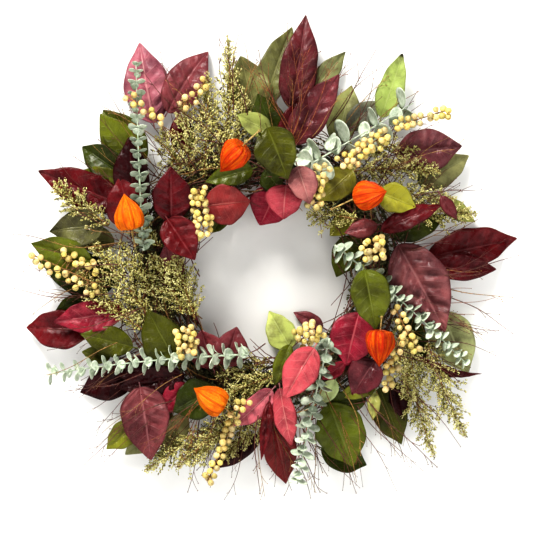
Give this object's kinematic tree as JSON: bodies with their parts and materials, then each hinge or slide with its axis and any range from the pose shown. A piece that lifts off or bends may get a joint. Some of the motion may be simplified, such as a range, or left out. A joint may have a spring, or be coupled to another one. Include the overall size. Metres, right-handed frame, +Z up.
{
  "type": "door wreath",
  "caption": "Harvest door wreath of preserved leaves, eucalyptus, artemisia plumes, canella berries and orange lantern pods on a wire and vine ring with a hanging loop",
  "frame": {"origin": "centre of the hanging loop, where the door's hook goes", "axes": "+X to the right and +Z up as it hangs, the face looks along -Y and the door is at +Y"},
  "size_m": [0.559, 0.1089, 0.534],
  "materials": {
    "frame_wire": "dark green lacquered wire",
    "vine_cane": "dry brown bark",
    "binding_wire": "thin green florist wire",
    "loop_wire": "dark green lacquered wire",
    "pick_wire": "thin green florist wire",
    "twig": "fine reddish-brown twig",
    "lantern_husk": "papery veined husk",
    "lantern_stalk": "dry straw-coloured stalk with an orange berry",
    "artemisia": "yellow-green feathery plume",
    "canella": "matt cream berries",
    "eucalyptus": "powdery grey-green",
    "burgundy_leaf": "satin preserved leaf, wine to plum",
    "rose_leaf": "satin preserved leaf, crimson to dusty pink",
    "green_leaf": "satin preserved leaf, olive to forest green",
    "pale_leaf": "satin preserved leaf, sage to lime"
  },
  "bodies": {
    "wreath": {"artemisia_bottom": "artemisia", "artemisia_inner_right": "artemisia", "artemisia_left": "artemisia", "artemisia_right_lower": "artemisia", "artemisia_right_upper": "artemisia", "artemisia_upper_left": "artemisia", "binding_wire": "binding_wire", "burgundy_leaves_lower_left": "burgundy_leaf", "burgundy_leaves_lower_right": "burgundy_leaf", "burgundy_leaves_upper_left": "burgundy_leaf", "burgundy_leaves_upper_right": "burgundy_leaf", "canella_bottom": "canella", "canella_inner_bottom": "canella", "canella_inner_left": "canella", "canella_left": "canella", "canella_lower_left": "canella", "canella_right": "canella", "canella_right_lower": "canella", "canella_upper_left": "canella", "canella_upper_right": "canella", "eucalyptus_bottom": "eucalyptus", "eucalyptus_left": "eucalyptus", "eucalyptus_lower_left": "eucalyptus", "eucalyptus_right": "eucalyptus", "eucalyptus_upper_right": "eucalyptus", "fine_twigs": "twig", "frame_rungs": "frame_wire", "green_leaves_lower_left": "green_leaf", "green_leaves_lower_right": "green_leaf", "green_leaves_upper_left": "green_leaf", "green_leaves_upper_right": "green_leaf", "inner_rail": "frame_wire", "lantern_picks": "pick_wire", "outer_rail": "frame_wire", "pale_leaves_lower_left": "pale_leaf", "pale_leaves_lower_right": "pale_leaf", "pale_leaves_upper_left": "pale_leaf", "pale_leaves_upper_right": "pale_leaf", "rose_leaves_lower_left": "rose_leaf", "rose_leaves_lower_right": "rose_leaf", "rose_leaves_upper_left": "rose_leaf", "rose_leaves_upper_right": "rose_leaf", "vine_cane_1": "vine_cane", "vine_cane_2": "vine_cane", "vine_cane_3": "vine_cane", "vine_cane_4": "vine_cane", "vine_cane_5": "vine_cane"},
    "hanging_loop": {"hanging_loop": "loop_wire"},
    "lantern_1": {"lantern_1_husk": "lantern_husk", "lantern_1_stalk": "lantern_stalk"},
    "lantern_2": {"lantern_2_husk": "lantern_husk", "lantern_2_stalk": "lantern_stalk"},
    "lantern_3": {"lantern_3_husk": "lantern_husk", "lantern_3_stalk": "lantern_stalk"},
    "lantern_4": {"lantern_4_husk": "lantern_husk", "lantern_4_stalk": "lantern_stalk"},
    "lantern_5": {"lantern_5_husk": "lantern_husk", "lantern_5_stalk": "lantern_stalk"}
  },
  "joints": [
    {"name": "loop_hinge", "type": "hinge", "parent": "wreath", "child": "hanging_loop", "pos_m": [0, 0, -0.022], "axis": [-1, 0, 0], "range_deg": [0, 150]},
    {"name": "lantern_1_nod", "type": "hinge", "parent": "wreath", "child": "lantern_1", "pos_m": [-0.008, -0.08588, -0.014], "axis": [-0.7311, 0, 0.6823], "range_deg": [-5, 12]},
    {"name": "lantern_2_nod", "type": "hinge", "parent": "wreath", "child": "lantern_2", "pos_m": [0.072, -0.05886, -0.099], "axis": [0.2017, 0, -0.9794], "range_deg": [-5, 12]},
    {"name": "lantern_3_nod", "type": "hinge", "parent": "wreath", "child": "lantern_3", "pos_m": [-0.144, -0.08821, -0.14], "axis": [0.9823, 0, 0.1871], "range_deg": [-5, 12]},
    {"name": "lantern_4_nod", "type": "hinge", "parent": "wreath", "child": "lantern_4", "pos_m": [0.126, -0.08831, -0.218], "axis": [-0.9969, 0, 0.0787], "range_deg": [-5, 12]},
    {"name": "lantern_5_nod", "type": "hinge", "parent": "wreath", "child": "lantern_5", "pos_m": [-0.034, -0.06725, -0.33], "axis": [0.5322, 0, 0.8466], "range_deg": [-5, 12]}
  ]
}
